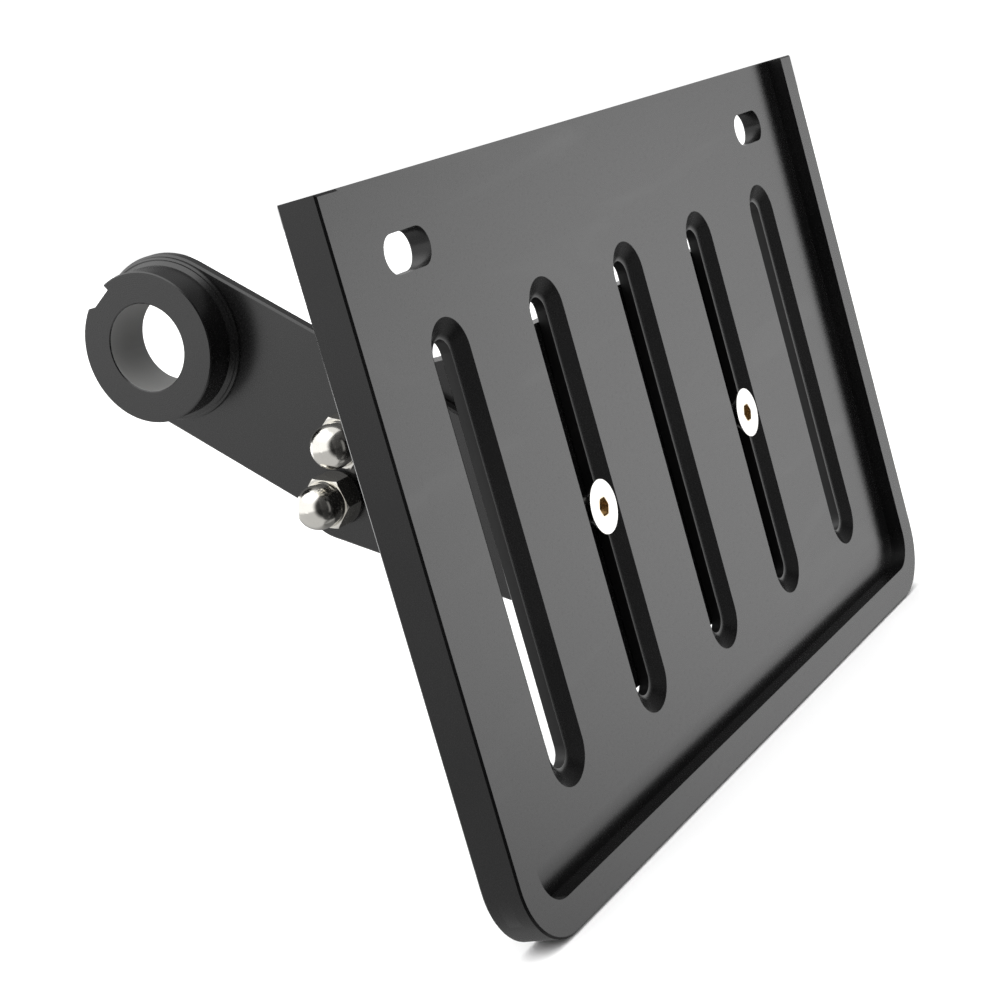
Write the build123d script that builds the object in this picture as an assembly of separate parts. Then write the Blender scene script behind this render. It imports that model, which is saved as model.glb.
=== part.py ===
from build123d import *
import math
import os

# Side-mount number-plate bracket for a motorcycle: a milled tray on an angle bracket,
# clamped to a flat arm whose boss goes over the axle.
# Origin: the middle of the axle bore. +X runs along the bore, to the right of somebody
# who faces the tray. +Y points away from that person and +Z points up. Millimetres.

# Arm and axle boss
bore_diameter = 14.8
boss_height = 7.05
arm_width = 28.75
boss_inset = 1.55
shoulder_inset = 0.4
shoulder_height = 0.85
shoulder_edge_break = 0.3
boss_root_cove = 0.65
arm_thickness = 2.3
arm_angle = 39.2
arm_tray_gap = 1.0
arm_end_radius = 5.7
notch_angle = 58.2
notch_floor_width = 4.2
notch_depth = 1.35
notch_flare_angle = 60.0

# Two bolts that clamp the arm to the ear: the lower one is placed along and below the
# arm's centreline, the upper one from the lower one
lower_bolt_reach = 38.6
lower_bolt_drop = 9.85
bolt_spacing = 11.15
bolt_row_angle = 123.3

# Tray for the number plate
tray_width = 190.5
tray_height = 117.55
tray_floor = 3.8
tray_rim_height = 3.15
tray_rim_width = 5.9
tray_corner_radius = 12.4
bore_behind_tray = 60.85
bore_above_tray_base = 100.8
slot_count = 5
slot_pitch = 33.15
slot_width = 5.35
slot_run = 65.05
slot_flare_width = 11.7
slot_flare_angle = 120.0
slot_centre_height = 56.0
plate_hole_spacing = 140.6
plate_hole_width = 6.3
plate_hole_run = 7.35
plate_hole_height = 105.75

# Angle bracket
flange_thickness = 4.0
flange_height = 65.0
flange_corner_radius = 5.7
flange_end_margin = 14.5
ear_washer_gap = 6.9
ear_thickness = 7.6
ear_root_height = 40.1
ear_lower_radius = 7.5
ear_upper_radius = 8.5
bracket_inner_radius = 2.85

# Fasteners: all are M5
thread_diameter = 5.0
thread_clearance = 0.05
clearance_hole_diameter = 5.5
nut_across_flats = 8.0
washer_diameter = 9.5
washer_thickness = 1.0
nut_washer_thickness = 0.8
screw_slots = (1, 3)
screw_height = 54.3
screw_head_diameter = 9.4
screw_head_rim = 0.1
screw_length = 16.0
screw_seat_gap = 0.02
screw_key = 3.0
screw_socket_depth = 1.9
bolt_length = 16.0
bolt_head_diameter = 8.5
bolt_head_height = 5.0
bolt_key = 4.0
bolt_socket_depth = 2.5
acorn_hex_height = 3.65
acorn_neck_height = 1.9
acorn_base_radius = 3.93
acorn_flare_height = 0.7
acorn_dome_radius = 3.75
acorn_thread_depth = 6.4
acorn_phases = {"lower": 16.3, "upper": 22.0}
locknut_hex_height = 3.7
locknut_collar_diameter = 7.0
locknut_height = 5.0
insert_diameter = 6.2
insert_height = 1.1

# Edge breaks
edge_break = 0.35
fine_edge_break = 0.2

# Places that several pieces share
boss_diameter = arm_width - 2 * boss_inset
bore_length = boss_height + arm_thickness
boss_face_x = -bore_length / 2
arm_right_x = bore_length / 2
arm_left_x = arm_right_x - arm_thickness
ear_left_x = arm_right_x
ear_right_x = ear_left_x + ear_thickness
left_screw_x = ear_right_x + bracket_inner_radius + ear_washer_gap + washer_diameter / 2
tray_centre_x = left_screw_x + ((slot_count - 1) / 2 - screw_slots[0]) * slot_pitch
tray_left_x = tray_centre_x - tray_width / 2
tray_base_z = -bore_above_tray_base
tray_front_y = -bore_behind_tray
tray_field_y = tray_front_y + tray_rim_height
tray_back_y = tray_field_y + tray_floor
flange_back_y = tray_back_y + flange_thickness
screw_z = tray_base_z + screw_height
flange_low_z = screw_z - flange_height / 2
flange_top_z = screw_z + flange_height / 2
ear_root_z = flange_top_z - ear_root_height
slot_flare_depth = (slot_flare_width - slot_width) / 2 / math.tan(math.radians(slot_flare_angle / 2))


def slot_x(index):
    """Centre of a long slot, counted from the left."""
    return tray_centre_x + (index - (slot_count - 1) / 2) * slot_pitch


def along_arm(distance, drop):
    """Place (y, z) at a distance down the arm from the bore and below its centreline."""
    angle = math.radians(arm_angle)
    y = -distance * math.cos(angle) + drop * math.sin(angle)
    z = -distance * math.sin(angle) - drop * math.cos(angle)
    return y, z


screw_places = {"left": slot_x(screw_slots[0]), "right": slot_x(screw_slots[1])}
lower_bolt = along_arm(lower_bolt_reach, lower_bolt_drop)
upper_bolt = (
    lower_bolt[0] + bolt_spacing * math.cos(math.radians(bolt_row_angle)),
    lower_bolt[1] + bolt_spacing * math.sin(math.radians(bolt_row_angle)),
)
bolt_places = {"lower": lower_bolt, "upper": upper_bolt}


def facing_plane(y):
    """Upright plane at y that faces the front, with x to the right and z up."""
    return Plane(origin=(0, y, 0), x_dir=(1, 0, 0), z_dir=(0, -1, 0))


def side_plane(x):
    """Upright plane at x that faces right, with y and z as its own axes."""
    return Plane(origin=(x, 0, 0), x_dir=(0, 1, 0), z_dir=(1, 0, 0))


def end_rims(solid, axis):
    """Edges round a prism's two end faces."""
    faces = solid.faces().sort_by(axis)
    return faces[0].edges() + faces[-1].edges()


def hex_prism(across_flats, height):
    """Hexagonal prism on z = 0, with a corner on its x axis."""
    return extrude(RegularPolygon(across_flats / 2, 6, major_radius=False), height)


def chamfered_hex(across_flats, height, both_ends):
    """Nut blank: hexagonal prism whose corners are turned off at 30 degrees."""
    corner = across_flats / math.sqrt(3)
    turned = (across_flats / 2 + corner) / 2
    drop = (corner - turned) * math.tan(math.radians(30))
    foot = [(turned, 0), (corner, drop)] if both_ends else [(corner, 0)]
    outline = Polyline(
        (0, 0), *foot, (corner, height - drop), (turned, height), (0, height), close=True
    )
    blank = revolve(Plane.XZ * make_face(outline), Axis.Z)
    return hex_prism(across_flats, height) & blank


def washer(outer_diameter, thickness):
    """Flat washer on z = 0."""
    ring = Circle(outer_diameter / 2) - Circle(clearance_hole_diameter / 2)
    return extrude(ring, thickness)


def shank(length):
    """Threaded shank that runs down from z = 0, with a chamfered tip."""
    rod = Cylinder(thread_diameter / 2, length, align=(Align.CENTER, Align.CENTER, Align.MAX))
    return chamfer(rod.edges().group_by(Axis.Z)[0], thread_diameter * 0.08)


def hex_socket(across_flats, depth):
    """Cutter for a hexagonal key socket that goes down from z = 0."""
    return Pos(0, 0, -depth) * hex_prism(across_flats, 2 * depth)


def countersunk_screw():
    """Countersunk screw with its head's top on z = 0 and its shank pointing down."""
    head_radius = screw_head_diameter / 2
    rod_radius = thread_diameter / 2
    cone_end = -screw_head_rim - (head_radius - rod_radius)
    rim = (head_radius, -screw_head_rim)
    outline = Polyline((0, 0), (head_radius, 0), rim, (rod_radius, cone_end), (0, cone_end), close=True)
    head = revolve(Plane.XZ * make_face(outline), Axis.Z)
    rod = Pos(0, 0, cone_end) * shank(screw_length + cone_end)
    return head + rod - hex_socket(screw_key, screw_socket_depth)


def cap_bolt():
    """Socket-head cap bolt whose head stands on z = 0 and whose shank points down."""
    head = Cylinder(bolt_head_diameter / 2, bolt_head_height, align=(Align.CENTER, Align.CENTER, Align.MIN))
    head = chamfer(head.edges().group_by(Axis.Z)[-1], edge_break)
    socket = Pos(0, 0, bolt_head_height) * hex_socket(bolt_key, bolt_socket_depth)
    return head + shank(bolt_length) - socket


def acorn_nut():
    """Domed nut on z = 0: hexagon, short flared neck and half a ball, with a blind thread."""
    body = chamfered_hex(nut_across_flats, acorn_hex_height, both_ends=False)
    neck_end = acorn_hex_height + acorn_neck_height
    neck = Cylinder(acorn_dome_radius, neck_end, align=(Align.CENTER, Align.CENTER, Align.MIN))
    flare = Cone(
        acorn_base_radius, acorn_dome_radius, acorn_flare_height, align=(Align.CENTER, Align.CENTER, Align.MIN)
    )
    neck += Pos(0, 0, acorn_hex_height) * flare
    ball = Pos(0, 0, neck_end) * Sphere(acorn_dome_radius)
    dome = ball & Pos(0, 0, neck_end) * Cylinder(
        2 * acorn_dome_radius, 2 * acorn_dome_radius, align=(Align.CENTER, Align.CENTER, Align.MIN)
    )
    thread_radius = thread_diameter / 2 + thread_clearance
    thread = Cylinder(thread_radius, acorn_thread_depth, align=(Align.CENTER, Align.CENTER, Align.MIN))
    return body + neck + dome - thread


def locking_nut():
    """Locking nut on z = 0: hexagon below, round collar above that holds the insert."""
    body = chamfered_hex(nut_across_flats, locknut_hex_height, both_ends=True)
    collar = Cylinder(
        locknut_collar_diameter / 2, locknut_height, align=(Align.CENTER, Align.CENTER, Align.MIN)
    )
    thread = Cylinder(thread_diameter / 2 + thread_clearance, 3 * locknut_height)
    groove = Pos(0, 0, locknut_height - insert_height) * Cylinder(
        insert_diameter / 2, insert_height, align=(Align.CENTER, Align.CENTER, Align.MIN)
    )
    return body + collar - thread - groove


def locking_insert():
    """Nylon ring that fills the groove of the locking nut."""
    ring = Cylinder(insert_diameter / 2, insert_height, align=(Align.CENTER, Align.CENTER, Align.MIN))
    ring = Pos(0, 0, locknut_height - insert_height) * ring
    return ring - Cylinder(thread_diameter / 2 + thread_clearance, 3 * locknut_height)


def plate_tray():
    """Milled tray: rim on three sides, flared slots and two slotted plate holes."""
    corner = Pos(tray_left_x, tray_base_z)
    outline = corner * Rectangle(tray_width, tray_height, align=(Align.MIN, Align.MIN))
    outline = fillet(outline.vertices().group_by(Axis.Y)[0], tray_corner_radius)
    tray = extrude(facing_plane(tray_back_y) * outline, tray_back_y - tray_front_y)
    tray = chamfer(end_rims(tray, Axis.Y), edge_break)

    pocket = corner * Pos(tray_rim_width, tray_rim_width) * Rectangle(
        tray_width - 2 * tray_rim_width, tray_height, align=(Align.MIN, Align.MIN)
    )
    pocket = fillet(pocket.vertices().group_by(Axis.Y)[0], tray_corner_radius - tray_rim_width)
    tray -= extrude(facing_plane(tray_field_y) * pocket, 2 * tray_rim_height)

    slot = SlotCenterToCenter(slot_run, slot_width, rotation=90)
    flare = SlotCenterToCenter(slot_run, slot_flare_width, rotation=90)
    for index in range(slot_count):
        place = Pos(slot_x(index), tray_base_z + slot_centre_height)
        tray -= extrude(facing_plane(tray_back_y) * place * slot, tray_floor)
        mouth = facing_plane(tray_field_y) * place * flare
        tray -= extrude(mouth, -slot_flare_depth, taper=slot_flare_angle / 2)
    plate_hole = SlotCenterToCenter(plate_hole_run, plate_hole_width)
    for side in (-1, 1):
        place = Pos(tray_centre_x + side * plate_hole_spacing / 2, tray_base_z + plate_hole_height)
        tray -= extrude(facing_plane(tray_back_y) * place * plate_hole, tray_floor)

    back = tray.faces().sort_by(Axis.Y)[-1]
    cut_rims = [edge for wire in back.inner_wires() for edge in wire.edges()]
    return chamfer(cut_rims, fine_edge_break)


def ear_outline():
    """Outline of the ear in the side plane: from its root at the flange to a lobe about each bolt."""
    root = Polyline(
        (tray_back_y, ear_root_z), (flange_back_y, ear_root_z), (flange_back_y, flange_top_z),
        (tray_back_y, flange_top_z), close=True,
    )
    lobes = [
        Pos(*lower_bolt) * CenterArc((0, 0), ear_lower_radius, 0, 360),
        Pos(*upper_bolt) * CenterArc((0, 0), ear_upper_radius, 0, 360),
    ]
    return make_hull(root.edges() + lobes)


def angle_bracket():
    """Flange behind the tray, with the ear that the arm is bolted to at its left end."""
    flange_right_x = screw_places["right"] + flange_end_margin
    flange = Pos(ear_left_x, flange_low_z) * Rectangle(
        flange_right_x - ear_left_x, flange_height, align=(Align.MIN, Align.MIN)
    )
    flange = fillet(flange.vertices().group_by(Axis.X)[-1], flange_corner_radius)
    bracket = extrude(facing_plane(flange_back_y) * flange, flange_thickness)

    bracket += extrude(side_plane(ear_left_x) * ear_outline(), ear_thickness)

    inner_corner = [
        edge
        for edge in bracket.edges().filter_by(Axis.Z)
        if abs(edge.center().X - ear_right_x) < 0.01 and abs(edge.center().Y - flange_back_y) < 0.01
    ]
    bracket = fillet(inner_corner, bracket_inner_radius)
    for x in screw_places.values():
        hole = Pos(x, screw_z) * Circle(clearance_hole_diameter / 2)
        bracket -= extrude(facing_plane(flange_back_y) * hole, flange_thickness)
    for place in bolt_places.values():
        hole = Pos(*place) * Circle(clearance_hole_diameter / 2)
        bracket -= extrude(side_plane(ear_left_x) * hole, ear_thickness)
    return bracket


def arm_outline():
    """Outline of the arm in the side plane: round about the bore, and following the ear at its foot."""
    lean = Rot(0, 0, 180 + arm_angle)
    length = lower_bolt_reach + ear_lower_radius
    strip = Pos(length / 2, 0) * Rectangle(length, arm_width) + Circle(arm_width / 2)
    reach = 2 * bore_above_tray_base
    under_top_edge = lean * Pos(0, -arm_width / 2) * Rectangle(reach, reach, align=(Align.MIN, Align.MIN))
    clear_of_tray = Pos(tray_back_y + arm_tray_gap, 0) * Rectangle(reach, 2 * reach, align=(Align.MIN, Align.CENTER))
    outline = lean * strip + (ear_outline() & under_top_edge & clear_of_tray)
    heel = outline.vertices().group_by(Axis.X)[0].sort_by(Axis.Y)[-1]
    outline = fillet(heel, arm_end_radius)
    toe = outline.vertices().group_by(Axis.X)[0].sort_by(Axis.Y)[0]
    return fillet(toe, (flange_thickness - arm_tray_gap) / 2)


def boss_notch():
    """Cutter for the flat notch in the boss's rim, flared at its front side, down to the arm."""
    floor = boss_diameter / 2 - notch_depth
    top = boss_diameter / 2 + notch_depth
    half = notch_floor_width / 2
    flare = (top - floor) * math.tan(math.radians(notch_flare_angle))
    outline = Polyline((floor, -half), (top, -half - flare), (top, half), (floor, half), close=True)
    shape = Rot(0, 0, notch_angle) * make_face(outline)
    return extrude(side_plane(boss_face_x) * shape, boss_height)


def axle_arm():
    """Flat arm with the stepped boss, its notch and the axle bore."""
    outline = arm_outline()
    plate = extrude(side_plane(arm_left_x) * outline, arm_thickness)
    plate = chamfer(end_rims(plate, Axis.X), edge_break)

    shoulder_x = arm_left_x - shoulder_height
    shoulder_radius = arm_width / 2 - shoulder_inset
    boss_radius = boss_diameter / 2
    steps = make_face(
        Polyline(
            (arm_left_x, 0), (arm_left_x, shoulder_radius), (shoulder_x, shoulder_radius),
            (shoulder_x, boss_radius), (boss_face_x, boss_radius), (boss_face_x, 0), close=True,
        )
    )
    breaks = {
        (shoulder_x, shoulder_radius, 0): shoulder_edge_break,
        (shoulder_x, boss_radius, 0): boss_root_cove,
        (boss_face_x, boss_radius, 0): fine_edge_break,
    }
    for corner, size in breaks.items():
        steps = chamfer(steps.vertices().sort_by_distance(corner)[0], size)
    boss = revolve(steps, Axis.X) - boss_notch()

    arm = plate + boss
    bore = Circle(bore_diameter / 2)
    arm -= extrude(side_plane(boss_face_x) * bore, bore_length)
    round_edges = arm.edges().filter_by(GeomType.CIRCLE)
    bore_rims = [edge for edge in round_edges if abs(edge.radius - bore_diameter / 2) < 0.01]
    arm = chamfer(bore_rims, fine_edge_break)
    for place in bolt_places.values():
        hole = Pos(*place) * Circle(clearance_hole_diameter / 2)
        arm -= extrude(side_plane(arm_left_x) * hole, arm_thickness)
    return arm


def save(solid, name):
    """Write one piece to its own file."""
    solid.label = name
    export_step(solid, f"parts/{name}.step")


def main():
    """Build every piece in its place and write it."""
    os.makedirs("parts", exist_ok=True)
    save(plate_tray(), "plate_tray")
    save(angle_bracket(), "angle_bracket")
    save(axle_arm(), "axle_arm")

    cone_contact = screw_head_rim + (screw_head_diameter - slot_width) / 2
    screw_top_y = tray_field_y + slot_flare_depth - cone_contact - screw_seat_gap
    for side, x in screw_places.items():
        front = Location(Plane(origin=(x, screw_top_y, screw_z), x_dir=(1, 0, 0), z_dir=(0, -1, 0)))
        back = Location(Plane(origin=(x, flange_back_y, screw_z), x_dir=(1, 0, 0), z_dir=(0, 1, 0)))
        save(front * countersunk_screw(), f"tray_screw_{side}")
        save(back * washer(washer_diameter, washer_thickness), f"tray_washer_{side}")
        save(back * Pos(0, 0, washer_thickness) * locking_nut(), f"tray_locknut_{side}")
        save(back * Pos(0, 0, washer_thickness) * locking_insert(), f"locknut_insert_{side}")

    for level, (y, z) in bolt_places.items():
        right = Location(Plane(origin=(ear_right_x, y, z), x_dir=(0, 1, 0), z_dir=(1, 0, 0)))
        left = Location(Plane(origin=(arm_left_x, y, z), x_dir=(0, 1, 0), z_dir=(-1, 0, 0)))
        turn = Rot(0, 0, -acorn_phases[level])
        save(right * washer(washer_diameter, washer_thickness), f"bolt_washer_{level}")
        save(right * Pos(0, 0, washer_thickness) * cap_bolt(), f"ear_bolt_{level}")
        save(left * washer(washer_diameter, nut_washer_thickness), f"nut_washer_{level}")
        save(left * Pos(0, 0, nut_washer_thickness) * turn * acorn_nut(), f"acorn_nut_{level}")


main()
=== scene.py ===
import logging
import math
from dataclasses import dataclass
from enum import Enum

import bmesh
import bpy
from mathutils import Matrix, Vector


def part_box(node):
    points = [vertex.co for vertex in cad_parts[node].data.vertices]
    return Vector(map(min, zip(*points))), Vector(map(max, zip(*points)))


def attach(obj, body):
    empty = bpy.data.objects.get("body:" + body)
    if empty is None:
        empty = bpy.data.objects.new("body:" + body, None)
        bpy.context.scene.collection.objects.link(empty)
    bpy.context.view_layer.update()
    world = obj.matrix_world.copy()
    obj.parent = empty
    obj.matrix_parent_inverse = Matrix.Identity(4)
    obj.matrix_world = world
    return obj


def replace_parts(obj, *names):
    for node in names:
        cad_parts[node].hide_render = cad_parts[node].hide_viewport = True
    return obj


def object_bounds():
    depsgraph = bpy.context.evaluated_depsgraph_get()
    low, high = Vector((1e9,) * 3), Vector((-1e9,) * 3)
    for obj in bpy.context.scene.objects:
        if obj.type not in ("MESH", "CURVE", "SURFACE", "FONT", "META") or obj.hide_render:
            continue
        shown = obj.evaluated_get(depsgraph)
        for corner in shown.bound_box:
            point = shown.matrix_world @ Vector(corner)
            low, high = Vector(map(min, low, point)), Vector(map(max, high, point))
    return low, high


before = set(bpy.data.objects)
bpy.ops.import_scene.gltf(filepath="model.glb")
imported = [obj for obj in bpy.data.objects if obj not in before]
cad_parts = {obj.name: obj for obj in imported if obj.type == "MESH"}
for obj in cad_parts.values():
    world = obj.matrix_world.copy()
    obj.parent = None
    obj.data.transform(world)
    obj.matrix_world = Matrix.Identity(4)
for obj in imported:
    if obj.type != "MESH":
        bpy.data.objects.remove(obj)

log = logging.getLogger("tail_tidy")
CAD_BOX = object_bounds()

FLOAT = "NodeSocketFloat"
COLOUR = "NodeSocketColor"
Socket = bpy.types.NodeSocket
Pair = tuple[float, float]
Triple = tuple[float, float, float]


class TurnedAxis(Enum):
    """The axis that a turned piece was spun about, as the turn that brings it onto X."""

    ACROSS = (0.0, 0.0, 0.0)
    DEPTH = (0.0, 0.0, -math.pi / 2)


class MixKind(Enum):
    """What a Mix node mixes: its data type, its first input of that type and its output."""

    VALUES = ("FLOAT", 2, 0)
    COLOURS = ("RGBA", 6, 2)


class Graph:
    """A node tree with short calls for adding and joining nodes."""

    def __init__(self, tree: bpy.types.NodeTree) -> None:
        """Start from a tree.

        Args:
            tree: The shader or geometry tree that takes the nodes.
        """
        self.tree = tree

    def add(self, kind: str, settings: dict | None = None, **inputs: object) -> bpy.types.Node:
        """Add one node.

        Args:
            kind: The node's type name.
            settings: Values for the node's own properties.
            **inputs: Values or sockets by input name, with spaces written as underscores.

        Returns:
            The new node.
        """
        node = self.tree.nodes.new(kind)
        for name, value in (settings or {}).items():
            setattr(node, name, value)
        for name, value in inputs.items():
            self.feed(node.inputs[name.replace("_", " ")], value)
        return node

    def feed(self, socket: Socket, value: object) -> None:
        """Give a socket a value, or join another socket to it.

        Args:
            socket: The input socket.
            value: A plain value or an output socket.
        """
        if isinstance(value, Socket):
            self.tree.links.new(value, socket)
        else:
            socket.default_value = value

    def group(self, tree: bpy.types.NodeTree, **inputs: object) -> bpy.types.Node:
        """Place a shader group.

        Args:
            tree: The group's tree.
            **inputs: Values or sockets by input name, with spaces written as underscores.

        Returns:
            The group's node.
        """
        return self.add("ShaderNodeGroup", {"node_tree": tree}, **inputs)

    def math(self, operation: str, *values: object) -> Socket:
        """Add a Math node.

        Args:
            operation: The Math node's operation.
            *values: Its values or sockets, in order; the rest stay at 0.

        Returns:
            The node's output socket.
        """
        node = self.add("ShaderNodeMath", {"operation": operation})
        for socket, value in zip(node.inputs, (*values, 0.0, 0.0)):
            self.feed(socket, value)
        return node.outputs[0]

    def vectors(self, operation: str, *values: object) -> bpy.types.Node:
        """Add a Vector Math node.

        Args:
            operation: The node's operation.
            *values: Its vectors or sockets, in order.

        Returns:
            The new node.
        """
        node = self.add("ShaderNodeVectorMath", {"operation": operation})
        for socket, value in zip(node.inputs, values):
            self.feed(socket, value)
        return node

    def reach(self, first: Socket, second: Socket) -> Socket:
        """Measure how far a place lies from an axis.

        Args:
            first: Its distance one way.
            second: Its distance the other way.

        Returns:
            The distance's socket.
        """
        squares = (self.math("MULTIPLY", first, first), self.math("MULTIPLY", second, second))
        return self.math("SQRT", self.math("ADD", *squares))

    def span(
        self, value: object, low: float, high: float, to_low: object, to_high: object
    ) -> Socket:
        """Map a value's range smoothly onto another, with the ends held.

        Args:
            value: The value or socket to map.
            low: Where the range starts.
            high: Where the range ends.
            to_low: The result at the start.
            to_high: The result at the end.

        Returns:
            The mapped value's socket.
        """
        node = self.add("ShaderNodeMapRange", {"interpolation_type": "SMOOTHSTEP"})
        names = ("Value", "From Min", "From Max", "To Min", "To Max")
        for name, given in zip(names, (value, low, high, to_low, to_high)):
            self.feed(node.inputs[name], given)
        return node.outputs["Result"]

    def fall(self, distance: object, reach: object) -> Socket:
        """Fall from 1 to 0 over a reach, as a square.

        Args:
            distance: How far it has gone.
            reach: Where it comes to 0.

        Returns:
            The fallen value's socket.
        """
        share = self.add("ShaderNodeClamp", Value=self.math("DIVIDE", distance, reach)).outputs[0]
        return self.math("POWER", self.math("SUBTRACT", 1.0, share), 2.0)

    def mix(self, kind: MixKind, share: object, first: object, second: object) -> Socket:
        """Mix two values or colours.

        Args:
            kind: Which of the two.
            share: The second one's share.
            first: The first value, colour or socket.
            second: The second one.

        Returns:
            The mixture's socket.
        """
        data_type, entry, leave = kind.value
        node = self.add("ShaderNodeMix", {"data_type": data_type})
        for place, value in ((0, share), (entry, first), (entry + 1, second)):
            self.feed(node.inputs[place], value)
        return node.outputs[leave]

    def bump(self, height: object, depth: float, under: Socket | None = None) -> Socket:
        """Turn a height into a normal.

        Args:
            height: The height's socket.
            depth: What a height of 1 stands for, in metres.
            under: The normal of a coarser relief that it lies on.

        Returns:
            The normal's socket.
        """
        node = self.add("ShaderNodeBump", Height=height, Strength=1.0, Distance=depth)
        if under is not None:
            self.feed(node.inputs["Normal"], under)
        return node.outputs["Normal"]

    def towards(self, way: Socket, azimuth: float) -> Socket:
        """Measure how far a direction points towards an azimuth.

        Args:
            way: A unit direction.
            azimuth: Degrees from +X towards +Y.

        Returns:
            The cosine between the two.
        """
        angle = math.radians(azimuth)
        aim = (math.cos(angle), math.sin(angle), 0.0)
        return self.vectors("DOT_PRODUCT", way, aim).outputs["Value"]


class Effects:
    """Shader groups that several finishes share, each built once."""

    # Grain: pits against grains, the distance over which a pit rises, and its height.
    PIT_SCALE = 0.31
    PIT_EDGE = 0.35
    PIT_HEIGHT = 0.35
    FLECK_SPAN = (0.52, 0.72)
    CLOUD_SPAN = (0.3, 0.7)
    # Handling: how wipes are drawn out and turned, and specks against wipes.
    WIPE_STRETCH = (0.25, 1.0, 1.6)
    WIPE_TURN = (0.4, 0.3, 0.7)
    WIPE_SPAN = (0.55, 0.8)
    SPECK_SCALE = 9.0
    SPECK_SPAN = (0.02, 0.07)
    SPECK_SHARE = 0.6
    # Lathe rings: how often and how far they wander.
    WANDER_SCALE = 900.0
    WANDER = 5.0
    # Coves: how softly two of them join, in metres, and the floor's depth with its margin.
    COVE_JOIN = 0.003
    FLOOR_DEPTH = -0.0013
    FLOOR_MARGIN = 0.0012

    def __init__(self) -> None:
        """Start with no group built."""
        self.built: dict[str, bpy.types.NodeTree] = {}

    def new_tree(
        self, name: str, inputs: dict[str, object], outputs: dict[str, str]
    ) -> tuple[Graph, dict, dict]:
        """Start a shader group with named sockets.

        Args:
            name: The group's name.
            inputs: Default value of each input; a vector input's default is None.
            outputs: Socket type of each output.

        Returns:
            The group's graph, its input sockets and its output sockets, by name.
        """
        tree = bpy.data.node_groups.new(name, "ShaderNodeTree")
        for label, value in inputs.items():
            kind = "NodeSocketVector" if value is None else FLOAT
            kind = COLOUR if isinstance(value, tuple) else kind
            socket = tree.interface.new_socket(label, in_out="INPUT", socket_type=kind)
            if value is not None:
                socket.default_value = value
        for label, kind in outputs.items():
            tree.interface.new_socket(label, in_out="OUTPUT", socket_type=kind)
        graph = Graph(tree)
        entry, leave = graph.add("NodeGroupInput"), graph.add("NodeGroupOutput")
        self.built[name] = tree
        return graph, dict(entry.outputs.items()), dict(leave.inputs.items())

    def satin_grain(self) -> bpy.types.NodeTree:
        """Etched grain of an anodised or blasted surface, with a mask of the brighter grains.

        Returns:
            The shader group.
        """
        if "satin_grain" in self.built:
            return self.built["satin_grain"]
        inputs = {"Vector": None, "Scale": 3000.0}
        graph, given, out = self.new_tree("satin_grain", inputs, {"Height": FLOAT, "Fleck": FLOAT})
        where, scale = given["Vector"], given["Scale"]
        finish = {"Scale": scale, "Detail": 3.0, "Roughness": 0.6}
        fine = graph.add("ShaderNodeTexNoise", Vector=where, **finish).outputs["Fac"]
        coarse = graph.math("MULTIPLY", scale, self.PIT_SCALE)
        pits = graph.add("ShaderNodeTexVoronoi", Vector=where, Scale=coarse)
        pit = graph.span(pits.outputs["Distance"], 0.0, self.PIT_EDGE, 0.0, 1.0)
        graph.feed(out["Height"], graph.math("MULTIPLY_ADD", pit, self.PIT_HEIGHT, fine))
        graph.feed(out["Fleck"], graph.span(fine, *self.FLECK_SPAN, 0.0, 1.0))
        return self.built["satin_grain"]

    def uneven_tone(self) -> bpy.types.NodeTree:
        """Slow, cloudy change between two tones.

        Returns:
            The shader group.
        """
        if "uneven_tone" in self.built:
            return self.built["uneven_tone"]
        black, white = (0.0, 0.0, 0.0, 1.0), (1.0, 1.0, 1.0, 1.0)
        inputs = {"Vector": None, "Scale": 30.0, "Tone A": black, "Tone B": white}
        graph, given, out = self.new_tree("uneven_tone", inputs, {"Color": COLOUR})
        finish = {"Scale": given["Scale"], "Detail": 4.0, "Roughness": 0.55}
        noise = graph.add("ShaderNodeTexNoise", Vector=given["Vector"], **finish)
        cloud = graph.span(noise.outputs["Fac"], *self.CLOUD_SPAN, 0.0, 1.0)
        tone = graph.mix(MixKind.COLOURS, cloud, given["Tone A"], given["Tone B"])
        graph.feed(out["Color"], tone)
        return self.built["uneven_tone"]

    def turned_rings(self) -> bpy.types.NodeTree:
        """Lathe rings about the X axis of the given vector, with a mask of the marked zone.

        Returns:
            The shader group.
        """
        if "turned_rings" in self.built:
            return self.built["turned_rings"]
        inputs = {"Vector": None, "Pitch": 0.0003, "Reach": 0.0135, "Far X": 1.0}
        graph, given, out = self.new_tree("turned_rings", inputs, {"Height": FLOAT, "Zone": FLOAT})
        place = graph.add("ShaderNodeSeparateXYZ", Vector=given["Vector"]).outputs
        radius = graph.reach(place["Y"], place["Z"])
        path = graph.math("ADD", radius, place["X"])
        finish = {"Scale": self.WANDER_SCALE, "Detail": 2.0}
        uneven = graph.add("ShaderNodeTexNoise", {"noise_dimensions": "1D"}, W=path, **finish)
        turns = graph.math("MULTIPLY", graph.math("DIVIDE", path, given["Pitch"]), 2 * math.pi)
        phase = graph.math("MULTIPLY_ADD", uneven.outputs["Fac"], self.WANDER, turns)
        near = graph.math("LESS_THAN", radius, given["Reach"])
        zone = graph.math("MULTIPLY", near, graph.math("LESS_THAN", place["X"], given["Far X"]))
        graph.feed(out["Zone"], zone)
        graph.feed(out["Height"], graph.math("MULTIPLY", graph.math("SINE", phase), zone))
        return self.built["turned_rings"]

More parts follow.
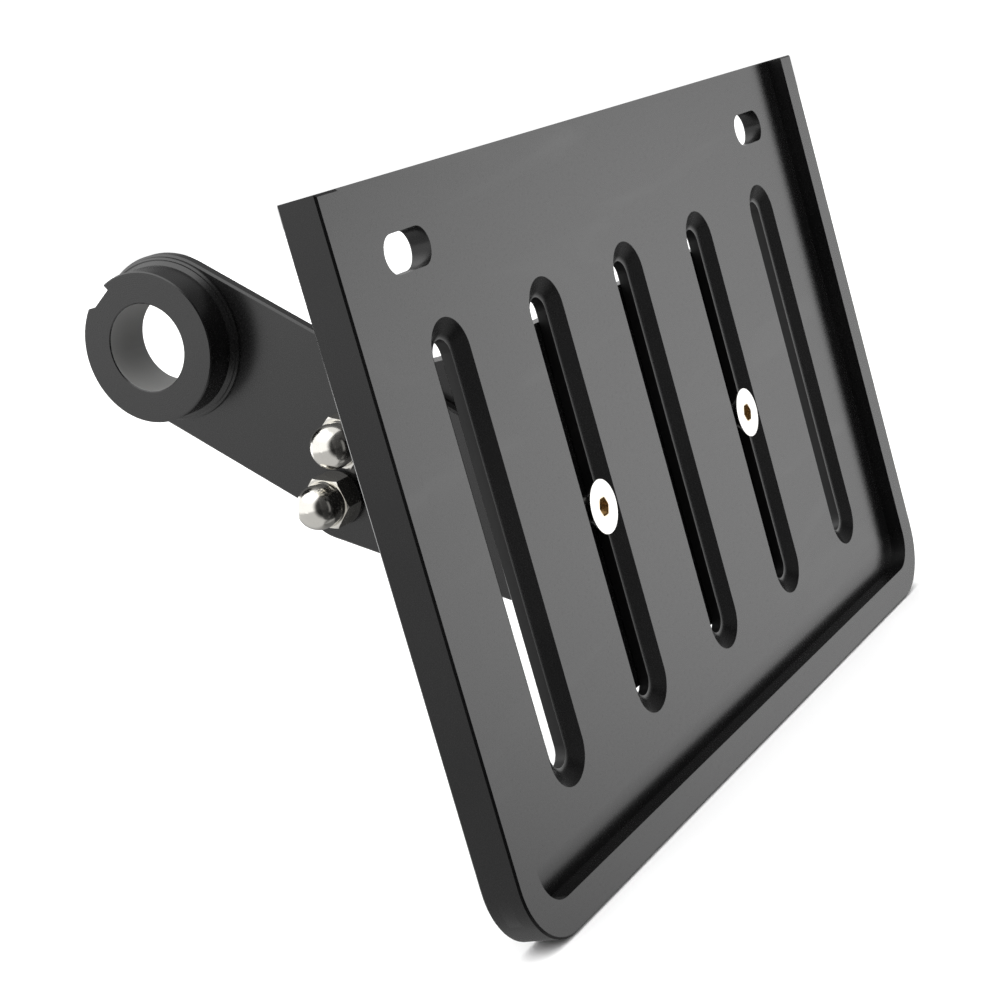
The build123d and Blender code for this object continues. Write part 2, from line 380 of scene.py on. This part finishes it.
    def handling_marks(self) -> bpy.types.NodeTree:
        """Faint wipes and specks that a handled part picks up, as a mask.

        Returns:
            The shader group.
        """
        if "handling_marks" in self.built:
            return self.built["handling_marks"]
        inputs = {"Vector": None, "Scale": 60.0}
        graph, given, out = self.new_tree("handling_marks", inputs, {"Mask": FLOAT})
        where, scale = given["Vector"], given["Scale"]
        drawn_out = {"Scale": self.WIPE_STRETCH, "Rotation": self.WIPE_TURN}
        stretch = graph.add("ShaderNodeMapping", Vector=where, **drawn_out).outputs[0]
        finish = {"Scale": scale, "Detail": 5.0, "Distortion": 0.8}
        wipes = graph.add("ShaderNodeTexNoise", Vector=stretch, **finish)
        wipe = graph.span(wipes.outputs["Fac"], *self.WIPE_SPAN, 0.0, 1.0)
        fine = graph.math("MULTIPLY", scale, self.SPECK_SCALE)
        specks = graph.add("ShaderNodeTexVoronoi", Vector=where, Scale=fine)
        speck = graph.span(specks.outputs["Distance"], *self.SPECK_SPAN, 1.0, 0.0)
        mask = graph.math("MAXIMUM", wipe, graph.math("MULTIPLY", speck, self.SPECK_SHARE))
        graph.feed(out["Mask"], mask)
        return self.built["handling_marks"]

    def scooped_mouths(self) -> bpy.types.NodeTree:
        """Soft scoop at the foot of each slot's flare, in metres, with a mask of the walls.

        Returns:
            The shader group.
        """
        if "scooped_mouths" in self.built:
            return self.built["scooped_mouths"]
        inputs = {"Vector": None, "Pitch": 0.03315, "Half Run": 0.0325, "Inner": 0.0027}
        inputs.update({"Width": 0.0009, "Depth": 0.00018, "Deepest": 0.0})
        outputs = {"Height": FLOAT, "Wall": FLOAT}
        graph, given, out = self.new_tree("scooped_mouths", inputs, outputs)
        place = graph.add("ShaderNodeSeparateXYZ", Vector=given["Vector"]).outputs
        half = graph.math("MULTIPLY", given["Pitch"], 0.5)
        across = graph.math("WRAP", place["X"], half, graph.math("MULTIPLY", half, -1.0))
        past_run = graph.math("SUBTRACT", graph.math("ABSOLUTE", place["Z"]), given["Half Run"])
        along = graph.math("MAXIMUM", past_run, 0.0)
        outward = graph.math("SUBTRACT", graph.reach(across, along), given["Inner"])
        scoop = graph.math("MULTIPLY", graph.fall(outward, given["Width"]), given["Depth"])
        front = graph.math("LESS_THAN", place["Y"], given["Deepest"])
        graph.feed(out["Height"], graph.math("MULTIPLY", scoop, front))
        graph.feed(out["Wall"], graph.math("LESS_THAN", outward, 0.0))
        return self.built["scooped_mouths"]

    def coved_roots(self) -> bpy.types.NodeTree:
        """Gentle cove where the tray's floor meets its right and lower rims, in metres.

        Returns:
            The shader group.
        """
        if "coved_roots" in self.built:
            return self.built["coved_roots"]
        inputs = {"Vector": None, "Right": 0.08935, "Lower": -0.0501}
        inputs.update({"Reach": 0.0055, "Rise": -0.00035})
        graph, given, out = self.new_tree("coved_roots", inputs, {"Height": FLOAT})
        place = graph.add("ShaderNodeSeparateXYZ", Vector=given["Vector"]).outputs
        right = graph.math("SUBTRACT", given["Right"], place["X"])
        lower = graph.math("SUBTRACT", place["Z"], given["Lower"])
        nearest = graph.math("SMOOTH_MIN", right, lower, self.COVE_JOIN)
        cove = graph.fall(graph.math("MAXIMUM", nearest, 0.0), given["Reach"])
        level = graph.math("COMPARE", place["Y"], self.FLOOR_DEPTH, self.FLOOR_MARGIN)
        rise = graph.math("MULTIPLY", cove, given["Rise"])
        graph.feed(out["Height"], graph.math("MULTIPLY", rise, level))
        return self.built["coved_roots"]


def new_material(name: str) -> tuple[bpy.types.Material, Graph]:
    """Start a material with an empty tree.

    Args:
        name: The material's name.

    Returns:
        The material and its graph.
    """
    made = bpy.data.materials.new(name)
    made.use_nodes = True
    made.node_tree.nodes.clear()
    return made, Graph(made.node_tree)


@dataclass(frozen=True)
class AnodisedFinish:
    """Satin black anodising on milled aluminium.

    Attributes:
        name: The material's name.
        tone: Darker colour of the anodised skin.
        lift: Lighter colour that clouds through it.
        tone_scale: Clouds per metre.
        roughness: Middle of its roughness.
        fleck: What a bright grain adds to the roughness.
        marks_scale: Handling marks per metre.
        marks_polish: What a handling mark adds to the roughness.
        grain_scale: Grains per metre of the etched skin.
        grain_depth: Height of the grain in metres.
        ring_pitch: Distance between lathe rings in metres, or 0 for none.
        ring_depth: Height of the rings in metres.
        ring_far_x: The rings stop at this X, in metres.
        ior: Refractive index of the sealed skin.
        bore_reach: Radius of a bore about X whose wall gets a paler tone of painted light, in
            metres, or 0 for none.
        bore_painted_light_tone: Paler colour painted on that wall for the light it shows.
        bore_roughening: What is added to that wall's roughness.
        mouths_at: Middle of a row of slots with scooped mouths, in metres, or None.
        wall_drag: What the cutter's drag adds to the roughness of those slots' walls.
    """

    name: str
    tone: Triple = (0.0022, 0.0022, 0.0023)
    lift: Triple = (0.0038, 0.0037, 0.0038)
    tone_scale: float = 38.0
    roughness: float = 0.26
    fleck: float = 0.03
    marks_scale: float = 55.0
    marks_polish: float = -0.035
    grain_scale: float = 3200.0
    grain_depth: float = 0.000002
    ring_pitch: float = 0.0
    ring_depth: float = 0.0000015
    ring_far_x: float = 0.0025
    ior: float = 1.6
    bore_reach: float = 0.0
    # Painted light: paler tone that stands in for the light on the bore wall.
    bore_painted_light_tone: Triple = (0.15, 0.15, 0.147)
    bore_roughening: float = 0.25
    mouths_at: Triple | None = None
    wall_drag: float = 0.2

    def material(self, effects: Effects) -> bpy.types.Material:
        """Build the material.

        Args:
            effects: The shared shader groups.

        Returns:
            The new material.
        """
        made, graph = new_material(self.name)
        place = graph.add("ShaderNodeTexCoord").outputs["Object"]
        tone = graph.group(effects.uneven_tone(), Vector=place, Scale=self.tone_scale)
        graph.feed(tone.inputs["Tone A"], (*self.tone, 1.0))
        graph.feed(tone.inputs["Tone B"], (*self.lift, 1.0))
        grain = graph.group(effects.satin_grain(), Vector=place, Scale=self.grain_scale)
        marks = graph.group(effects.handling_marks(), Vector=place, Scale=self.marks_scale)
        mark = marks.outputs["Mask"]
        rough = graph.math("MULTIPLY_ADD", mark, self.marks_polish, self.roughness)
        rough = graph.math("MULTIPLY_ADD", grain.outputs["Fleck"], self.fleck, rough)
        skin, relief = tone.outputs["Color"], None
        if self.ring_pitch > 0:
            rings = graph.group(effects.turned_rings(), Vector=place, Pitch=self.ring_pitch)
            graph.feed(rings.inputs["Far X"], self.ring_far_x)
            relief = graph.bump(rings.outputs["Height"], self.ring_depth)
        if self.mouths_at:
            shift = tuple(-part for part in self.mouths_at)
            local = graph.add("ShaderNodeMapping", Vector=place, Location=shift).outputs[0]
            mouths = graph.group(effects.scooped_mouths(), Vector=local)
            roots = graph.group(effects.coved_roots(), Vector=local)
            metres = graph.math("ADD", mouths.outputs["Height"], roots.outputs["Height"])
            relief = graph.bump(metres, 1.0, relief)
            rough = graph.math("MULTIPLY_ADD", mouths.outputs["Wall"], self.wall_drag, rough)
        if self.bore_reach > 0:
            bore = graph.group(effects.turned_rings(), Vector=place, Reach=self.bore_reach)
            wall = bore.outputs["Zone"]
            # Painted light: the bore wall is mixed to a paler tone for the light it shows.
            skin = graph.mix(MixKind.COLOURS, wall, skin, (*self.bore_painted_light_tone, 1.0))
            rough = graph.math("MULTIPLY_ADD", wall, self.bore_roughening, rough)
        finish = {"Base_Color": skin, "Roughness": rough, "IOR": self.ior}
        finish["Normal"] = graph.bump(grain.outputs["Height"], self.grain_depth, relief)
        shader = graph.add("ShaderNodeBsdfPrincipled", **finish)
        graph.add("ShaderNodeOutputMaterial", Surface=shader.outputs[0])
        return made


@dataclass(frozen=True)
class SteelFinish:
    """Turned or polished stainless steel.

    Attributes:
        name: The material's name.
        colour: Colour of the bare steel.
        roughness: Middle of its roughness.
        axis: The axis it was turned about.
        centre: A point on that axis, in metres.
        tone_scale: Clouds per metre of its tone.
        tone_lift: The paler tone against its colour.
        marks_scale: Handling marks per metre.
        marks_dull: What a handling mark adds to the roughness.
        ring_pitch: Distance between turning marks, in metres.
        ring_depth: Height of the turning marks, in metres.
        ring_reach: Radius up to which the marks go, in metres.
        key_reach: Radius of the key socket in its low-coordinate end, in metres, or 0 for none.
        socket_shade_colour: Painted shade: darker brownish colour of the steel in that socket.
    """

    name: str
    colour: Triple
    roughness: float
    axis: TurnedAxis
    centre: Triple
    tone_scale: float = 420.0
    tone_lift: float = 1.06
    marks_scale: float = 240.0
    marks_dull: float = 0.05
    ring_pitch: float = 0.00022
    ring_depth: float = 0.0000004
    ring_reach: float = 0.02
    key_reach: float = 0.0
    # Painted shade: darker brownish steel for the shaded key socket.
    socket_shade_colour: Triple = (0.60, 0.50, 0.36)

    def material(self, effects: Effects) -> bpy.types.Material:
        """Build the material.

        Args:
            effects: The shared shader groups.

        Returns:
            The new material.
        """
        made, graph = new_material(self.name)
        place = graph.add("ShaderNodeTexCoord").outputs["Object"]
        shift = -(Matrix.Rotation(self.axis.value[2], 3, "Z") @ Vector(self.centre))
        onto_axis = {"Rotation": self.axis.value, "Location": tuple(shift)}
        local = graph.add("ShaderNodeMapping", Vector=place, **onto_axis).outputs[0]
        rings = graph.group(effects.turned_rings(), Vector=local, Pitch=self.ring_pitch)
        graph.feed(rings.inputs["Reach"], self.ring_reach)
        tone = graph.group(effects.uneven_tone(), Vector=local, Scale=self.tone_scale)
        paler = (min(1.0, self.tone_lift * part) for part in self.colour)
        graph.feed(tone.inputs["Tone A"], (*self.colour, 1.0))
        graph.feed(tone.inputs["Tone B"], (*paler, 1.0))
        marks = graph.group(effects.handling_marks(), Vector=local, Scale=self.marks_scale)
        rough = graph.math("MULTIPLY_ADD", marks.outputs["Mask"], self.marks_dull, self.roughness)
        skin = tone.outputs["Color"]
        if self.key_reach > 0:
            key = graph.group(effects.turned_rings(), Vector=local, Reach=self.key_reach)
            graph.feed(key.inputs["Far X"], 0.0)
            # Painted shade: the key socket's steel is mixed darker and brownish.
            skin = graph.mix(MixKind.COLOURS, key.outputs["Zone"], skin, (*self.socket_shade_colour, 1.0))
        finish = {"Base_Color": skin, "Roughness": rough, "Metallic": 1.0}
        finish["Normal"] = graph.bump(rings.outputs["Height"], self.ring_depth)
        shader = graph.add("ShaderNodeBsdfPrincipled", **finish)
        graph.add("ShaderNodeOutputMaterial", Surface=shader.outputs[0])
        return made


@dataclass(frozen=True)
class NylonFinish:
    """Moulded nylon of the locking inserts.

    Attributes:
        name: The material's name.
        colour: Colour of the nylon.
        tone_scale: Clouds per metre of its tone.
        tone_drop: The deeper tone against its colour.
        roughness: Its roughness.
        fleck: What a bright grain adds to the roughness.
        grain_scale: Grains per metre of the moulded skin.
        grain_depth: Height of the grain in metres.
    """

    name: str = "insert_nylon"
    colour: Triple = (0.62, 0.61, 0.57)
    tone_scale: float = 700.0
    tone_drop: float = 0.9
    roughness: float = 0.45
    fleck: float = 0.1
    grain_scale: float = 5200.0
    grain_depth: float = 0.000004

    def material(self, effects: Effects) -> bpy.types.Material:
        """Build the material.

        Args:
            effects: The shared shader groups.

        Returns:
            The new material.
        """
        made, graph = new_material(self.name)
        place = graph.add("ShaderNodeTexCoord").outputs["Object"]
        tone = graph.group(effects.uneven_tone(), Vector=place, Scale=self.tone_scale)
        deeper = (self.tone_drop * part for part in self.colour)
        graph.feed(tone.inputs["Tone A"], (*self.colour, 1.0))
        graph.feed(tone.inputs["Tone B"], (*deeper, 1.0))
        grain = graph.group(effects.satin_grain(), Vector=place, Scale=self.grain_scale)
        rough = graph.math("MULTIPLY_ADD", grain.outputs["Fleck"], self.fleck, self.roughness)
        finish = {"Base_Color": tone.outputs["Color"], "Roughness": rough}
        finish["Normal"] = graph.bump(grain.outputs["Height"], self.grain_depth)
        shader = graph.add("ShaderNodeBsdfPrincipled", **finish)
        graph.add("ShaderNodeOutputMaterial", Surface=shader.outputs[0])
        return made


def dress(node: str, material: bpy.types.Material) -> None:
    """Give a CAD node its finish.

    Args:
        node: The node's name.
        material: The material for its slots.
    """
    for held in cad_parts[node].material_slots:
        held.material = material
    log.info("%s: %s", node, material.name)


@dataclass
class BlackParts:
    """The anodised parts: tray, angle bracket and axle arm.

    Attributes:
        tray: The tray's finish, with the scooped mouths of its slots.
        bracket: The angle bracket's finish.
        arm: The arm's finish, with lathe rings on its boss and painted light on its bore's wall.
    """

    tray: AnodisedFinish = AnodisedFinish(
        "tray_anodised", ior=1.5, mouths_at=(0.059925, -0.05587, -0.0448)
    )
    bracket: AnodisedFinish = AnodisedFinish("bracket_anodised", ior=1.5)
    arm: AnodisedFinish = AnodisedFinish(
        "arm_anodised", ring_pitch=0.00035, ior=1.65, bore_reach=0.00742
    )

    def build(self, effects: Effects) -> None:
        """Dress the three nodes.

        Args:
            effects: The shared shader groups.
        """
        dress("plate_tray", self.tray.material(effects))
        dress("angle_bracket", self.bracket.material(effects))
        dress("axle_arm", self.arm.material(effects))


@dataclass
class TrayFasteners:
    """Countersunk screws with their washers, locking nuts and inserts.

    Attributes:
        steel: Colour of their steel.
        screw_roughness: Roughness of the screws.
        nut_roughness: Roughness of the nuts and washers.
        key_reach: Radius over the corners of the screws' key sockets, in metres.
    """

    steel: Triple = (0.68, 0.67, 0.65)
    screw_roughness: float = 0.2
    nut_roughness: float = 0.3
    key_reach: float = 0.00176

    def build(self, effects: Effects) -> None:
        """Dress the fasteners behind and in the tray.

        Args:
            effects: The shared shader groups.
        """
        nylon = NylonFinish().material(effects)
        for side in ("left", "right"):
            low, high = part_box(f"tray_screw_{side}")
            turned = (TurnedAxis.DEPTH, tuple((low + high) / 2))
            screw = SteelFinish(
                f"screw_steel_{side}",
                self.steel,
                self.screw_roughness,
                *turned,
                key_reach=self.key_reach,
            )
            plain = SteelFinish(f"locknut_steel_{side}", self.steel, self.nut_roughness, *turned)
            dress(f"tray_screw_{side}", screw.material(effects))
            back = plain.material(effects)
            dress(f"tray_washer_{side}", back)
            dress(f"tray_locknut_{side}", back)
            dress(f"locknut_insert_{side}", nylon)


@dataclass
class KnurledHead:
    """Ear bolt whose cap head carries fine grip ridges.

    Attributes:
        level: Which bolt it is.
        ridges: How many ridges go round the head.
        ridge_sides: Sides of one ridge.
        ridge_radius: Radius of one ridge, in metres.
        head_length: Length of the head, in metres.
        head_radius: Radius over the ridges, in metres.
        edge: Plain length left at each end of the head, in metres.
        same_corner: Corners nearer than this are one, in metres.
        slack: How far under the head its own corners may lie, in metres.
        crease: Edges bent by more than this are sharp, in degrees.
    """

    level: str
    ridges: int = 54
    ridge_sides: int = 8
    ridge_radius: float = 0.00017
    head_length: float = 0.005
    head_radius: float = 0.00425
    edge: float = 0.00055
    same_corner: float = 0.000001
    slack: float = 0.00001
    crease: float = 28.0

    def turned_down(self, node: bpy.types.Object) -> bpy.types.Mesh:
        """Copy the bolt with its head's wall turned down to the ridges' roots.

        Args:
            node: The CAD node of the bolt.

        Returns:
            The new mesh, with shared corners merged.
        """
        build = bmesh.new()
        build.from_mesh(node.data)
        bmesh.ops.remove_doubles(build, verts=build.verts, dist=self.same_corner)
        low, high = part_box(node.name)
        middle = (low + high) / 2
        root = self.head_radius - self.ridge_radius
        under_head = high.x - self.head_length - self.slack
        for corner in build.verts:
            spoke = Vector((0.0, corner.co.y - middle.y, corner.co.z - middle.z))
            if spoke.length > root and corner.co.x > under_head:
                corner.co -= spoke * (1.0 - root / spoke.length)
        mesh = bpy.data.meshes.new(f"{node.name}_turned_down")
        build.to_mesh(mesh)
        build.free()
        mesh.shade_smooth()
        mesh.set_sharp_from_angle(angle=math.radians(self.crease))
        return mesh

    def ridge_tree(self) -> bpy.types.NodeTree:
        """Make the geometry nodes that set ridges round a head.

        Returns:
            The node group, with its inputs named.
        """
        tree = bpy.data.node_groups.new(f"grip_ridges_{self.level}", "GeometryNodeTree")
        inputs = {"Geometry": "Geometry", "Count": "Int", "Ring Radius": "Float"}
        inputs.update({"Ridge Radius": "Float", "Length": "Float"})
        inputs.update({"Centre": "Vector", "Material": "Material"})
        for name, kind in inputs.items():
            tree.interface.new_socket(name, in_out="INPUT", socket_type=f"NodeSocket{kind}")
        tree.interface.new_socket("Geometry", in_out="OUTPUT", socket_type="NodeSocketGeometry")
        graph = Graph(tree)
        given, leave = graph.add("NodeGroupInput").outputs, graph.add("NodeGroupOutput")
        circle = graph.add(
            "GeometryNodeMeshCircle", Vertices=given["Count"], Radius=given["Ring Radius"]
        ).outputs["Mesh"]
        sizes = {"Radius": given["Ridge Radius"], "Depth": given["Length"]}
        ridge = graph.add(
            "GeometryNodeMeshCylinder", Vertices=self.ridge_sides, **sizes
        ).outputs["Mesh"]
        placed = graph.add("GeometryNodeInstanceOnPoints", Points=circle, Instance=ridge).outputs[0]
        onto_head = {"Translation": given["Centre"], "Rotation": (0.0, math.pi / 2, 0.0)}
        turned = graph.add("GeometryNodeTransform", Geometry=placed, **onto_head).outputs[0]
        real = graph.add("GeometryNodeRealizeInstances", Geometry=turned).outputs[0]
        dressed = graph.add("GeometryNodeSetMaterial", Geometry=real, Material=given["Material"])
        graph.feed(leave.inputs[0], dressed.outputs[0])
        return tree

    def ridge_mesh(self, centre: Vector, material: bpy.types.Material) -> bpy.types.Mesh:
        """Run the geometry nodes and keep the result as a plain mesh.

        Args:
            centre: Middle of the head, in metres.
            material: The bolt's steel.

        Returns:
            The mesh of all the ridges.
        """
        tree = self.ridge_tree()
        name = f"ridge_maker_{self.level}"
        maker = bpy.data.objects.new(name, bpy.data.meshes.new(name))
        bpy.context.scene.collection.objects.link(maker)
        ring, length = self.head_radius - self.ridge_radius, self.head_length - 2 * self.edge
        values = {"Count": self.ridges, "Ring Radius": ring, "Ridge Radius": self.ridge_radius}
        values.update({"Length": length, "Centre": centre, "Material": material})
        nodes = maker.modifiers.new("grip_ridges", "NODES")
        nodes.node_group = tree
        for item in tree.interface.items_tree:
            if item.in_out == "INPUT" and item.name in values:
                nodes[item.identifier] = values[item.name]
        ready = maker.evaluated_get(bpy.context.evaluated_depsgraph_get())
        ridges = bpy.data.meshes.new_from_object(ready)
        bpy.data.objects.remove(maker)
        return ridges

    def build(self, material: bpy.types.Material) -> None:
        """Make the bolt and let it stand for its CAD node.

        Args:
            material: The bolt's steel.
        """
        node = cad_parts[f"ear_bolt_{self.level}"]
        low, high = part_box(node.name)
        middle = (low + high) / 2
        centre = Vector((high.x - self.head_length / 2, middle.y, middle.z))
        build = bmesh.new()
        build.from_mesh(self.turned_down(node))
        build.from_mesh(self.ridge_mesh(centre, material))
        mesh = bpy.data.meshes.new(f"knurled_bolt_{self.level}")
        build.to_mesh(mesh)
        build.free()
        mesh.materials.append(material)
        piece = bpy.data.objects.new(f"knurled_bolt_{self.level}", mesh)
        bpy.context.scene.collection.objects.link(piece)
        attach(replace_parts(piece, node.name), "root")
        log.info("%s: %d grip ridges", piece.name, self.ridges)


@dataclass
class ArmFasteners:
    """Bolts, washers and acorn nuts that clamp the arm to the ear.

    Attributes:
        steel: Colour of the bolts.
        bolt_roughness: Roughness of the bolts.
        polished: Colour of the polished acorn nuts.
        nut_roughness: Roughness of the nuts.
        nut_ring_depth: Height of the nuts' turning marks, in metres.
    """

    steel: Triple = (0.66, 0.65, 0.63)
    bolt_roughness: float = 0.28
    polished: Triple = (0.80, 0.78, 0.73)
    nut_roughness: float = 0.15
    nut_ring_depth: float = 0.0000002

    def build(self, effects: Effects) -> None:
        """Dress the fasteners on the arm.

        Args:
            effects: The shared shader groups.
        """
        # Painted shade: the washers are dressed black for the shade and dark reflection round the
        # nuts' feet.
        black = AnodisedFinish("washer_painted_shade").material(effects)
        for level in ("lower", "upper"):
            low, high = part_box(f"ear_bolt_{level}")
            turned = (TurnedAxis.ACROSS, tuple((low + high) / 2))
            nut = SteelFinish(
                f"acorn_polished_{level}",
                self.polished,
                self.nut_roughness,
                *turned,
                ring_depth=self.nut_ring_depth,
            )
            plain = SteelFinish(f"bolt_steel_{level}", self.steel, self.bolt_roughness, *turned)
            dress(f"acorn_nut_{level}", nut.material(effects))
            bare = plain.material(effects)
            dress(f"ear_bolt_{level}", bare)
            KnurledHead(level).build(bare)
            for node in ("bolt_washer", "nut_washer"):
                # Painted shade: each washer takes that black.
                dress(f"{node}_{level}", black)


@dataclass(frozen=True)
class Screen:
    """Pale screen that stands in the studio's surround.

    Attributes:
        way: Azimuth of its middle, in degrees.
        edge: Cosines from its middle between which it fades in.
        gain: What it adds.
        foot: Heights between which it fades in, as sines.
        head: Heights between which it fades out, as sines.
        foot_share: Share of it that is left under its foot.
    """

    way: float
    edge: Pair
    gain: float
    foot: Pair = (-0.3, -0.12)
    head: Pair = (0.2, 0.45)
    foot_share: float = 0.0

    def light(self, graph: Graph, flat: Socket, height: Socket) -> Socket:
        """Work out its light in a direction.

        Args:
            graph: The world's graph.
            flat: The direction's level part, as a unit vector.
            height: The direction's height, as a sine.

        Returns:
            The light's socket.
        """
        lobe = graph.span(graph.towards(flat, self.way), *self.edge, 0.0, self.gain)
        foot = graph.span(height, *self.foot, self.foot_share, 1.0)
        head = graph.span(height, *self.head, 1.0, 0.0)
        return graph.math("MULTIPLY", lobe, graph.math("MULTIPLY", foot, head))


@dataclass
class Studio:
    """Camera, floor, surround and overhead light.

    Attributes:
        lens: Focal length in millimetres.
        sensor: Width of the sensor in millimetres.
        clip: Nearest and farthest that the camera sees, in metres.
        eye: Place of the camera, in metres.
        right: The camera's right direction.
        up: The camera's up direction.
        floor_drop: How far the floor lies under the tray, in metres.
        floor_reach: Half the floor's side, in metres.
        floor_tone: Grey level and roughness of the floor's paper.
        left_way: Azimuth of the pale left side, in degrees.
        left_levels: Its brightness low down and from the horizon up.
        left_rise: Heights between which that brightness changes, as sines.
        side_edge: Cosines from the left side between which the surround brightens.
        far_level: Brightness of the side opposite to it.
        screens: The band at the right front and the two screens behind and to the right.
        top_gain: What the ceiling adds.
        top_rise: Heights between which it comes in, as sines.
        dark_way: Azimuth of the dark side of the room, near the camera.
        dark_edge: Cosines between which the dark side comes in.
        dark_share: Share of the light that the dark side keeps.
        ahead: Faint screen straight ahead of the tray, in front of the dark side.
        backdrop: Brightness of the white that the camera sees past the object.
        key_from: Direction that the soft overhead light comes from.
        key_spread: How widely it is spread, in radians.
        key_power: Its strength, in watts per square metre.
    """

    lens: float = 79.88
    sensor: float = 36.0
    clip: Pair = (0.02, 50.0)
    eye: Triple = (-0.29680, -0.23317, 0.01824)
    right: Triple = (0.4574, -0.8464, -0.2728)
    up: Triple = (0.2726, -0.1586, 0.9490)
    floor_drop: float = 0.0003
    floor_reach: float = 6.0
    floor_tone: float = 0.9
    left_way: float = 150.0
    left_levels: Pair = (0.6, 1.25)
    left_rise: Pair = (-0.18, -0.02)
    side_edge: Pair = (-0.7, 0.5)
    far_level: float = 0.15
    screens: tuple[Screen, ...] = (
        Screen(-40.0, (0.9, 0.98), 2.15, foot=(-0.5, -0.18), head=(0.0, 0.13), foot_share=0.08),
        Screen(62.0, (0.9, 0.97), 1.0),
        Screen(14.0, (0.93, 0.98), 0.7),
    )
    top_gain: float = 0.8
    top_rise: Pair = (0.5, 0.9)
    dark_way: float = 247.0
    dark_edge: Pair = (0.38, 0.74)
    dark_share: float = 0.03
    ahead: Screen = Screen(273.0, (0.93, 0.985), 0.2, foot=(-0.6, -0.35))
    backdrop: float = 1.05
    key_from: Triple = (-0.2, -0.35, 1.0)
    key_spread: float = 1.7
    key_power: float = 3.3

    def camera(self) -> None:
        """Set the camera where the photograph was taken from."""
        data = bpy.data.cameras.new("photo_camera")
        data.lens, data.sensor_width = self.lens, self.sensor
        data.clip_start, data.clip_end = self.clip
        right, up = Vector(self.right).normalized(), Vector(self.up)
        back = right.cross(up).normalized()
        up = back.cross(right)
        camera = bpy.data.objects.new("photo_camera", data)
        turn = Matrix((right, up, back)).transposed()
        camera.matrix_world = Matrix.Translation(self.eye) @ turn.to_4x4()
        bpy.context.scene.collection.objects.link(camera)
        bpy.context.scene.camera = camera

    def floor(self) -> None:
        """Lay a plain pale floor just under the tray."""
        height, far = CAD_BOX[0].z - self.floor_drop, self.floor_reach
        mesh = bpy.data.meshes.new("studio_floor")
        build = bmesh.new()
        sides = ((-far, -far), (far, -far), (far, far), (-far, far))
        build.faces.new([build.verts.new((x, y, height)) for x, y in sides])
        build.to_mesh(mesh)
        build.free()
        floor = bpy.data.objects.new("studio_floor", mesh)
        bpy.context.scene.collection.objects.link(floor)
        paper, graph = new_material("floor_paper")
        tone = self.floor_tone
        finish = {"Base_Color": (tone, tone, tone, 1.0), "Roughness": tone}
        shader = graph.add("ShaderNodeBsdfPrincipled", **finish)
        graph.add("ShaderNodeOutputMaterial", Surface=shader.outputs[0])
        mesh.materials.append(paper)
        floor.visible_glossy = False

    def world(self) -> None:
        """Surround the object with pale and dark sides, and set white behind it for the camera."""
        world = bpy.data.worlds.new("studio_world")
        world.use_nodes = True
        world.node_tree.nodes.clear()
        graph = Graph(world.node_tree)
        way = graph.add("ShaderNodeTexCoord").outputs["Generated"]
        height = graph.add("ShaderNodeSeparateXYZ", Vector=way).outputs["Z"]
        level = graph.vectors("MULTIPLY", way, (1.0, 1.0, 0.0)).outputs[0]
        flat = graph.vectors("NORMALIZE", level).outputs[0]
        left = graph.span(height, *self.left_rise, *self.left_levels)
        pale = graph.span(graph.towards(flat, self.left_way), *self.side_edge, self.far_level, left)
        pale = graph.math("ADD", pale, graph.span(height, *self.top_rise, 0.0, self.top_gain))
        for screen in self.screens:
            pale = graph.math("ADD", pale, screen.light(graph, flat, height))
        kept = graph.span(graph.towards(way, self.dark_way), *self.dark_edge, 1.0, self.dark_share)
        around = graph.math("MULTIPLY_ADD", pale, kept, self.ahead.light(graph, flat, height))
        seen = graph.add("ShaderNodeLightPath").outputs["Is Camera Ray"]
        strength = graph.mix(MixKind.VALUES, seen, around, self.backdrop)
        light = graph.add("ShaderNodeBackground", Color=(1.0, 1.0, 1.0, 1.0), Strength=strength)
        graph.add("ShaderNodeOutputWorld", Surface=light.outputs[0])
        bpy.context.scene.world = world

    def light(self) -> None:
        """Hang the soft overhead light; black faces mirror only the surround."""
        data = bpy.data.lights.new("overhead_light", "SUN")
        data.energy, data.angle = self.key_power, self.key_spread
        lamp = bpy.data.objects.new("overhead_light", data)
        lamp.matrix_world = Vector(self.key_from).to_track_quat("Z", "Y").to_matrix().to_4x4()
        lamp.visible_glossy = False
        bpy.context.scene.collection.objects.link(lamp)

    def build(self) -> None:
        """Set up the whole studio."""
        scene = bpy.context.scene
        scene.view_settings.view_transform = "Standard"
        scene.view_settings.look = "None"
        self.world()
        self.floor()
        self.light()
        self.camera()
        log.info("studio: overhead light of %.1f", self.key_power)


def main() -> None:
    """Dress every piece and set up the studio."""
    logging.basicConfig(level=logging.INFO, format="%(name)s: %(message)s")
    effects = Effects()
    BlackParts().build(effects)
    TrayFasteners().build(effects)
    ArmFasteners().build(effects)
    Studio().build()


if __name__ == "__main__":
    main()
